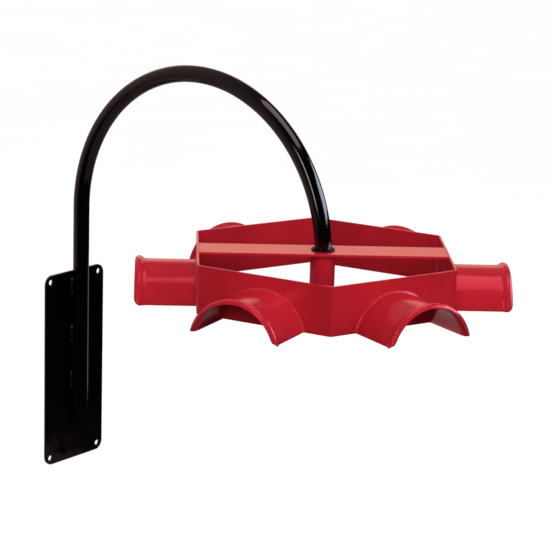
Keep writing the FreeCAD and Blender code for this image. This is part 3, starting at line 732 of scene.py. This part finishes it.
def crossbar():
    """The flat bar across the band, with the hole that the upper bush sits in."""
    reach = BAND_HALF - BAND_THICK
    half = BAR_WIDTH / 2
    outline = [(-reach, -half), (reach, -half), (reach, half), (-reach, half)]
    hole = arc((0, 0), SLEEVE_BORE, 0, -math.tau, PIPE_SIDES)[:-1]

    def to_space(along, across, height):
        return along, across, height - BAR_THICK

    plate_with_holes("crossbar", "carousel", "red_paint", [outline, hole], BAR_THICK, to_space,
                     at_hub(REST_TURN), BAR_EDGE)


def crossbar_welds():
    """Fillet welds under both ends of the crossbar."""
    reach = BAND_HALF - BAND_THICK
    half = BAR_WIDTH / 2 - WELD_LEG
    runs = []
    for side in (-1, 1):

        def frame_at(along, side=side):
            return lambda flat: (side * (reach - flat[0]), along - half, -BAR_THICK - flat[1])

        runs.append(fillet(2 * half, frame_at, WELD_LEG, FILLET_BULGE))
    weld("crossbar_welds", "carousel", "red_paint", runs, at_hub(REST_TURN))


def hub_sleeve():
    profile = ring_profile(SLEEVE_BORE, SLEEVE_RADIUS, SLEEVE_LOW.z, SLEEVE_HIGH.z)
    turned("hub_sleeve", "carousel", "red_paint", profile, SLEEVE_EDGE)


def hub_weld():
    """Fillet weld round the sleeve, under the crossbar."""

    def frame_at(along):
        angle = along / SLEEVE_RADIUS

        def to_space(flat):
            radius = SLEEVE_RADIUS + flat[0]
            return radius * math.cos(angle), radius * math.sin(angle), -BAR_THICK - flat[1]

        return to_space

    run = fillet(math.tau * SLEEVE_RADIUS, frame_at, WELD_LEG, FILLET_BULGE, closed=True)
    weld("hub_weld", "carousel", "red_paint", [run], at_hub())


def bushes():
    """The two flanged plastic bushes that run on the pipe, each from its flange to its spigot's end."""
    for node, radius, flange, seat, spigot in (
            ("upper_bush", UPPER_HIGH.y, UPPER_HIGH.z, BAR_TOP, UPPER_LOW.z),
            ("lower_bush", LOWER_HIGH.y, LOWER_LOW.z, SLEEVE_LOW.z, LOWER_HIGH.z)):
        flange, seat, spigot = below_bar(flange), below_bar(seat), below_bar(spigot)
        profile = [(BUSH_BORE, flange), (radius, flange), (radius, seat), (BUSH_SPIGOT_RADIUS, seat),
                   (BUSH_SPIGOT_RADIUS, spigot), (BUSH_BORE, spigot)]
        turned(node, "carousel", "black_plastic", profile, BUSH_EDGE)


def thrust_washer():
    profile = ring_profile(THRUST_BORE, THRUST_HIGH.y, THRUST_LOW.z, THRUST_HIGH.z)
    turned("thrust_washer", "carousel", "zinc_steel", profile, WASHER_EDGE)


def saddle_section():
    """The sheet's lengthwise section as pairs of (x, radius), outside and inside: a straight part from the
    band, a cove that climbs, and the rolled lip."""
    climb = math.acos(1 - LIP_RISE / (LIP_COVE + LIP_ROUND))
    lip_x = SADDLE_LENGTH - LIP_ROUND
    cove_x = lip_x - (LIP_COVE + LIP_ROUND) * math.sin(climb)
    cove = (cove_x, SADDLE_RADIUS + LIP_COVE)
    lip = (lip_x, SADDLE_RADIUS + LIP_RISE - LIP_ROUND)
    quarter = math.pi / 2
    pairs = []
    for step in range(SADDLE_STEPS):
        x = cove_x * step / SADDLE_STEPS
        pairs.append(((x, SADDLE_RADIUS), (x, SADDLE_RADIUS - SADDLE_THICK)))
    pairs += zip(arc(cove, LIP_COVE, -quarter, climb - quarter, COVE_STEPS),
                 arc(cove, LIP_COVE + SADDLE_THICK, -quarter, climb - quarter, COVE_STEPS))
    lip_pairs = zip(arc(lip, LIP_ROUND, climb + quarter, 0, LIP_STEPS),
                    arc(lip, LIP_ROUND - SADDLE_THICK, climb + quarter, 0, LIP_STEPS))
    pairs += list(lip_pairs)[1:]
    return pairs


def foot_height(x):
    """Height of the saddle's lower edge above its arc axis, with the rounded outer corner."""
    past = max(0.0, x - (SADDLE_LENGTH - FOOT_ROUND))
    return SADDLE_FOOT + FOOT_ROUND - math.sqrt(max(0.0, FOOT_ROUND ** 2 - past ** 2))


def saddle(step):
    """One rolled-sheet saddle, cut level along its feet."""
    pairs = saddle_section()
    points = []
    for outside_or_inside in (0, 1):
        for pair in pairs:
            x, radius = pair[outside_or_inside]
            half_angle = math.acos(foot_height(x) / radius)
            for column in range(SADDLE_COLUMNS + 1):
                angle = half_angle * (2 * column / SADDLE_COLUMNS - 1)
                points.append((x, radius * math.sin(angle), radius * math.cos(angle)))
    rows = len(pairs)
    width = SADDLE_COLUMNS + 1
    inside = rows * width
    faces = grid_faces(rows, width) + grid_faces(rows, width, first=inside)
    for row in range(rows - 1):
        for column in (0, SADDLE_COLUMNS):
            here = row * width + column
            faces.append((here, here + width, here + width + inside, here + inside))
    for row in (0, rows - 1):
        for column in range(SADDLE_COLUMNS):
            here = row * width + column
            faces.append((here, here + 1, here + 1 + inside, here + inside))
    add_piece("saddle_%d" % (step + 1), "carousel", "red_paint", points, faces, at_flat(step), SADDLE_EDGE)


def saddle_weld(step):
    """Fillet weld over the top of one saddle, where it meets the band."""
    half_angle = math.acos(SADDLE_FOOT / SADDLE_RADIUS)

    def frame_at(along):
        angle = along / SADDLE_RADIUS - half_angle

        def to_space(flat):
            radius = SADDLE_RADIUS + flat[1]
            return flat[0], radius * math.sin(angle), radius * math.cos(angle)

        return to_space

    run = fillet(2 * half_angle * SADDLE_RADIUS, frame_at, SADDLE_WELD_LEG, SADDLE_WELD_BULGE)
    weld("saddle_weld_%d" % (step + 1), "carousel", "red_paint", [run], at_flat(step))


def build():
    wall_plate()
    arm_tube()
    tube_end_cap()
    plate_weld_beads()
    spindle_plug()
    retaining_washer()
    lock_washer()
    hanger_bolt()
    hex_band()
    band_seam_weld()
    crossbar()
    crossbar_welds()
    hub_sleeve()
    hub_weld()
    bushes()
    thrust_washer()
    for step in range(SADDLES):
        saddle(step)
        saddle_weld(step)


# ---------------------------------------------------------------- studio and camera

# Angles in degrees; azimuth 0 looks along +Y.
CAMERA_AZIMUTH = 38.2
CAMERA_ELEVATION = 14.539
CAMERA_ROLL = 1.8
CAMERA_TARGET = Vector((0.5529, 0.0, 0.2951))
CAMERA_DISTANCE = 4.2253
CAMERA_LENS = 139.46
CAMERA_SENSOR = 36.0

FLOOR_DROP = 1.4
FLOOR_HALF = 40.0
FLOOR_GLOW = (0.975, 0.985)

WHITE = (1.0, 0.98, 0.96)
COOL = (0.76, 0.80, 1.0)
BLUSH = (1.0, 0.90, 0.90)
PINK = (1.0, 0.80, 0.86)
WARM_PINK = (1.0, 0.80, 0.82)
ROSE = (1.0, 0.62, 0.64)
AMBER = (1.0, 0.54, 0.38)

SKY_PALE = (0.985, 0.985, 0.985, 1)
STUDIO_DARK = (0.008, 0.004, 0.004, 1)
STUDIO_GLOW = (0.50, 0.33, 0.34, 1)


def direction(azimuth, elevation):
    """From the object towards a viewer or light."""
    turn, lift = math.radians(azimuth), math.radians(elevation)
    return Vector((math.sin(turn) * math.cos(lift), -math.cos(turn) * math.cos(lift), math.sin(lift)))


def add_camera():
    """The camera on the target's camera side, rolled a little about its own view axis."""
    back = direction(CAMERA_AZIMUTH, CAMERA_ELEVATION)
    level = direction(CAMERA_AZIMUTH + 90, 0)
    upright = back.cross(level)
    roll = math.radians(CAMERA_ROLL)
    across = level * math.cos(roll) + upright * math.sin(roll)
    upward = back.cross(across)
    camera = bpy.data.objects.new("camera", bpy.data.cameras.new("camera"))
    camera.data.lens = CAMERA_LENS
    camera.data.sensor_width = CAMERA_SENSOR
    camera.data.clip_start = 0.1
    camera.data.clip_end = 60.0
    axes = Matrix((across, upward, back)).transposed().to_4x4()
    camera.matrix_world = Matrix.Translation(CAMERA_TARGET + back * CAMERA_DISTANCE) @ axes
    bpy.context.scene.collection.objects.link(camera)
    bpy.context.scene.camera = camera


def add_panel(name, centre, aim, size, brightness, colour, shade=False):
    """A rectangular soft light at centre that faces aim. Its brightness is a radiance, and it either shades
    the surfaces or is only mirrored in their gloss."""
    width, height = size
    light = bpy.data.lights.new(name, "AREA")
    light.shape = "RECTANGLE"
    light.size = width
    light.size_y = height
    light.energy = brightness * math.pi * width * height
    light.color = colour
    panel = bpy.data.objects.new(name, light)
    panel.location = centre
    panel.rotation_mode = "QUATERNION"
    panel.rotation_quaternion = (aim - centre).to_track_quat("-Z", "Y")
    panel.visible_camera = False
    panel.visible_glossy = not shade
    panel.visible_diffuse = shade
    bpy.context.scene.collection.objects.link(panel)
    return panel


def carousel_finish():
    """The finished band, saddles and saddle welds, for a card that is mirrored in them alone."""
    carousel = bpy.data.collections.new("carousel_finish")
    for piece in bpy.context.scene.collection.objects:
        if piece.name.endswith("_finished") and piece.name.startswith(("saddle", "hex_band")):
            carousel.objects.link(piece)
    return carousel


def add_lights():
    """Soft panels round the rack. Those that shade it are mostly far off, so that near and far faces get the
    same light, and the others are only mirrored in its gloss."""
    hub = Vector((HUB_X, 0, BAR_TOP))
    leg = Vector((LEG_X, 0, 0))
    shoulder = Vector((0.62, 0, 0.5))
    above = Vector((1.02, 0.05, 1.8))
    straight_down = Vector((above.x, above.y, 0))
    below = hub - Vector((0, 0, 1.5))
    over_hub = hub + Vector((0, 0, 4.5))

    def beside_camera(turn, elevation, distance, start=hub):
        return start + direction(CAMERA_AZIMUTH + turn, elevation) * distance

    right_side = beside_camera(95, 17, 1.9, shoulder)
    front_side = beside_camera(-22, 16, 1.9, shoulder)
    low_behind = beside_camera(150, -13.7, 2.0, leg)
    low_left = beside_camera(-128, -24, 2.0)
    add_panel("overhead", above, straight_down, (0.97, 1.3), 2.9, PINK)
    add_panel("right_window", right_side, shoulder, (1.85, 0.85), 8.0, COOL)
    add_panel("front_strip", front_side, shoulder, (0.33, 0.95), 7.5, WHITE)
    add_panel("backdrop", beside_camera(180, 16, 3.2), hub, (3.6, 1.5), 1.0, AMBER)
    add_panel("low_back", low_behind, leg, (1.6, 0.41), 0.50, WARM_PINK)
    add_panel("floor_card", below, hub, (3.8, 3.8), 0.26, ROSE)
    add_panel("floor_fill", below, hub, (5.0, 5.0), 0.14, ROSE, shade=True)
    add_panel("front_fill", beside_camera(-5, 26, 10.0), hub, (6.0, 6.0), 4.0, WHITE, shade=True)
    add_panel("right_fill", beside_camera(52, 20, 9.0), hub, (4.8, 4.8), 4.3, WHITE, shade=True)
    add_panel("back_fill", beside_camera(165, 25, 9.0), hub, (4.8, 4.8), 3.0, WHITE, shade=True)
    add_panel("top_fill", over_hub, hub, (3.6, 3.6), 1.7, WHITE, shade=True)
    card = add_panel("low_card", low_left, hub, (2.2, 1.1), 0.9, BLUSH)
    card.light_linking.receiver_collection = carousel_finish()


def add_floor():
    """Plain pale floor, far below the rack as in a room."""
    level = PLATE_LOW.z - FLOOR_DROP
    corners = [(x * FLOOR_HALF, y * FLOOR_HALF, level) for x, y in ((-1, -1), (1, -1), (1, 1), (-1, 1))]
    mesh = bpy.data.meshes.new("floor")
    mesh.from_pydata(corners, [], [(0, 1, 2, 3)])
    material, tree, shader, place = new_material("pale_floor")
    tone = spread(tree, noise(tree, place, scale=1.5, detail=2.0), *FLOOR_GLOW)
    glow = add_node(tree, "ShaderNodeCombineColor", _0=tone, _1=tone, _2=tone)
    tree.links.new(glow.outputs[0], shader.inputs["Emission Color"])
    shader.inputs["Emission Strength"].default_value = 1.0
    shader.inputs["Base Color"].default_value = (0.04, 0.04, 0.04, 1)
    shader.inputs["Roughness"].default_value = 0.9
    mesh.materials.append(material)
    floor = bpy.data.objects.new("floor", mesh)
    floor.visible_diffuse = False
    floor.visible_glossy = False
    bpy.context.scene.collection.objects.link(floor)


def set_world():
    """Pale surroundings for the camera, while the rack is lit by a dim studio that glows on its left."""
    world = bpy.data.worlds.new("studio")
    world.use_nodes = True
    tree = world.node_tree
    tree.nodes.clear()
    ray = add_node(tree, "ShaderNodeTexCoord").outputs["Generated"]
    glow_side = direction(CAMERA_AZIMUTH - 120, 15)
    facing = add_node(tree, "ShaderNodeVectorMath", {"operation": "DOT_PRODUCT"}, _0=ray, _1=glow_side)
    glow = remap(tree, facing.outputs["Value"], 0.12, 0.85, 0.0, 1.0)
    dim = mix_colour(tree, glow, STUDIO_DARK, STUDIO_GLOW)
    studio = add_node(tree, "ShaderNodeBackground", Color=dim, Strength=1.0)
    pale = add_node(tree, "ShaderNodeBackground", Color=SKY_PALE, Strength=1.0)
    path = add_node(tree, "ShaderNodeLightPath")
    either = add_node(tree, "ShaderNodeMixShader", _0=path.outputs["Is Camera Ray"],
                      _1=studio.outputs[0], _2=pale.outputs[0])
    output = add_node(tree, "ShaderNodeOutputWorld")
    tree.links.new(either.outputs[0], output.inputs["Surface"])
    bpy.context.scene.world = world
    bpy.context.scene.view_settings.view_transform = "Standard"


build()
add_camera()
add_lights()
add_floor()
set_world()
